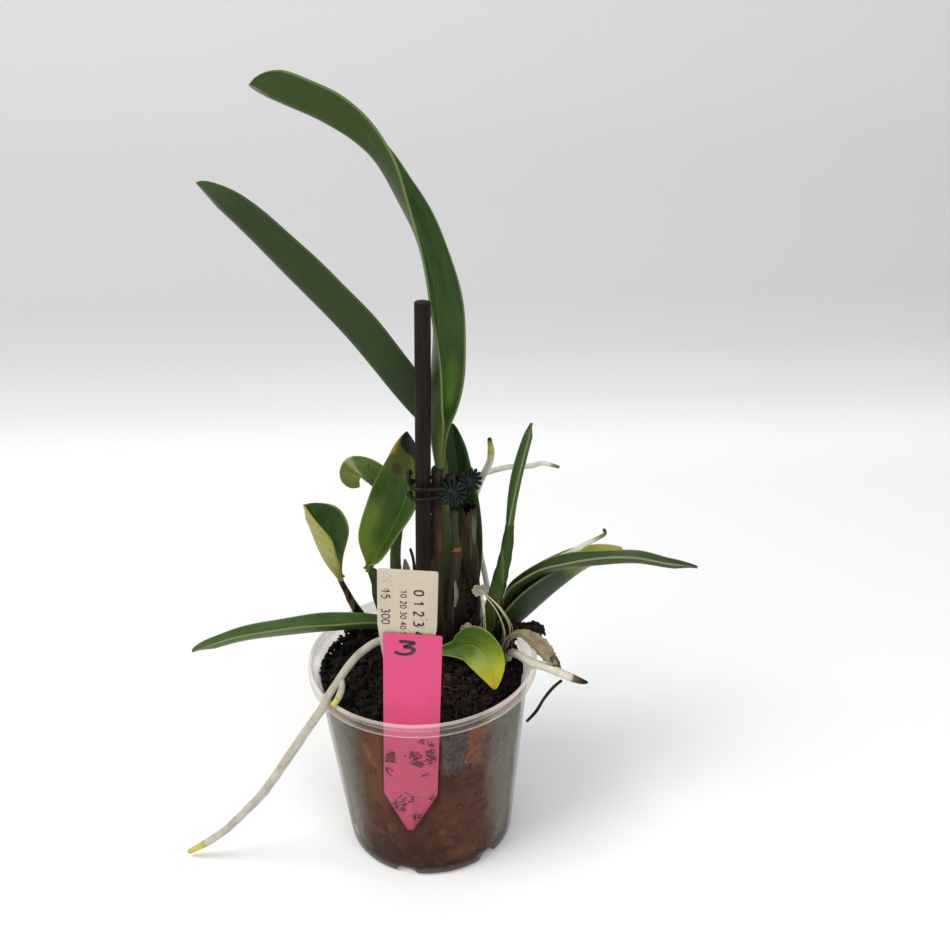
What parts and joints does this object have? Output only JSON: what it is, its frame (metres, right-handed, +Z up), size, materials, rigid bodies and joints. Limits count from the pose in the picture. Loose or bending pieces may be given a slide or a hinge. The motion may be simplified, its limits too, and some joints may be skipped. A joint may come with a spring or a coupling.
{
  "type": "cattleya orchid in a grow pot",
  "caption": "Young cattleya orchid with strap leaves and aerial roots, tied to a cane by a hinged clip, in a clear round grow pot of bark mix with two plant labels.",
  "frame": {"origin": "centre of the pot's flat underside", "axes": "+Z up the pot's axis, -Y towards the labels at the front, +X to the right seen from the front"},
  "size_m": [0.1988, 0.0882, 0.3016],
  "materials": {
    "pot": "milky translucent, slightly scuffed",
    "potting_mix": "rough damp bark and peat",
    "cane": "weathered bamboo",
    "label_white": "satin",
    "label_pink": "satin",
    "clip": "translucent dark green",
    "leaf": "waxy",
    "leaf_yellowing": "waxy",
    "stem_green": "smooth with papery streaks",
    "stem_brown": "dry sheath",
    "root": "velvety, chalky",
    "dry_tan": "papery",
    "dry_dark": "dry, matt"
  },
  "bodies": {
    "plant": {"pot": "pot", "potting_mix": "potting_mix", "cane": "cane", "label_pink": "label_pink", "label_white": "label_white", "clip_back": "clip", "rhizome": "stem_brown", "bulb_tall": "stem_brown", "bulb_long": "stem_green", "bulb_behind": "stem_green", "bulb_front": "stem_green", "bulb_blotched": "stem_green", "bulb_grey": "stem_green", "stem_dried": "dry_dark", "stem_sheathed": "stem_brown", "bulb_cut": "stem_brown", "bulb_upright": "stem_green", "bulb_lower_right": "stem_green", "root_left": "root", "root_right": "root", "root_up": "root", "root_back": "root", "root_channel": "root", "root_broken": "dry_dark", "spike_remnant": "dry_dark", "dry_curl": "dry_dark", "leaf_tall": "leaf", "leaf_long": "leaf", "leaf_behind": "leaf", "leaf_blotched": "leaf", "leaf_grey": "leaf", "leaf_yellow_back": "leaf_yellowing", "leaf_low_left": "leaf", "leaf_upright": "leaf", "leaf_lower_right": "leaf", "leaf_arching": "leaf", "leaf_front": "leaf_yellowing", "dry_sheath": "dry_tan", "pale_scale": "dry_tan", "straw_fibres": "dry_tan"},
    "clip_jaw": {"clip_front": "clip"}
  },
  "joints": [
    {"name": "clip_hinge", "type": "hinge", "parent": "plant", "child": "clip_jaw", "pos_m": [0.0136, 0.0002, 0.1546], "axis": [0, 0, 1], "range_deg": [0, 15], "stiffness_Nm_per_rad": 0.01, "springref_deg": -11.46}
  ]
}
